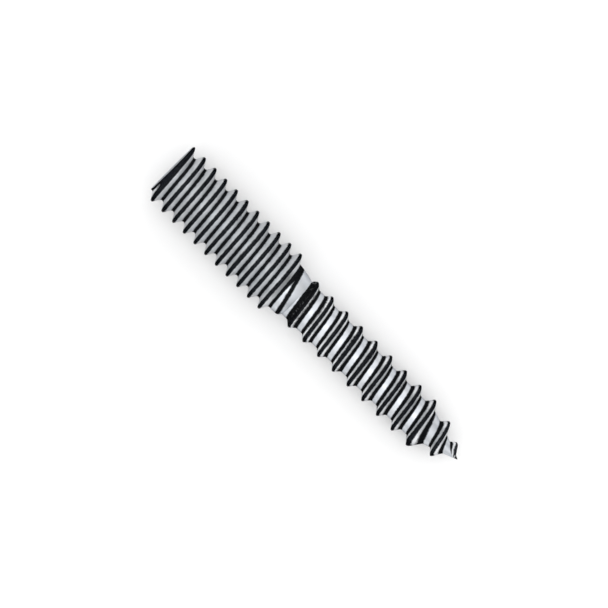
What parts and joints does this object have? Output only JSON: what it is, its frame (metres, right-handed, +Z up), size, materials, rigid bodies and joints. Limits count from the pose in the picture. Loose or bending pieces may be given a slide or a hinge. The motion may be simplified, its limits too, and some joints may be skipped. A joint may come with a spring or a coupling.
{
  "type": "hanger bolt",
  "caption": "Headless steel stud with a machine thread on one end and a wood thread with a gimlet point on the other, lying on its side.",
  "frame": {"origin": "middle of the bounding box's underside, on the surface that the bolt lies on", "axes": "+X from the flat machine end towards the gimlet point, +Z up. The axis dips towards the point by the small angle at which the bolt rests on its two threads"},
  "size_m": [0.0286, 0.0048, 0.0052],
  "materials": {
    "zinc_plated_steel": "bright zinc plate over rolled threads"
  },
  "bodies": {
    "root": {"hanger_bolt": "zinc_plated_steel"}
  },
  "joints": []
}
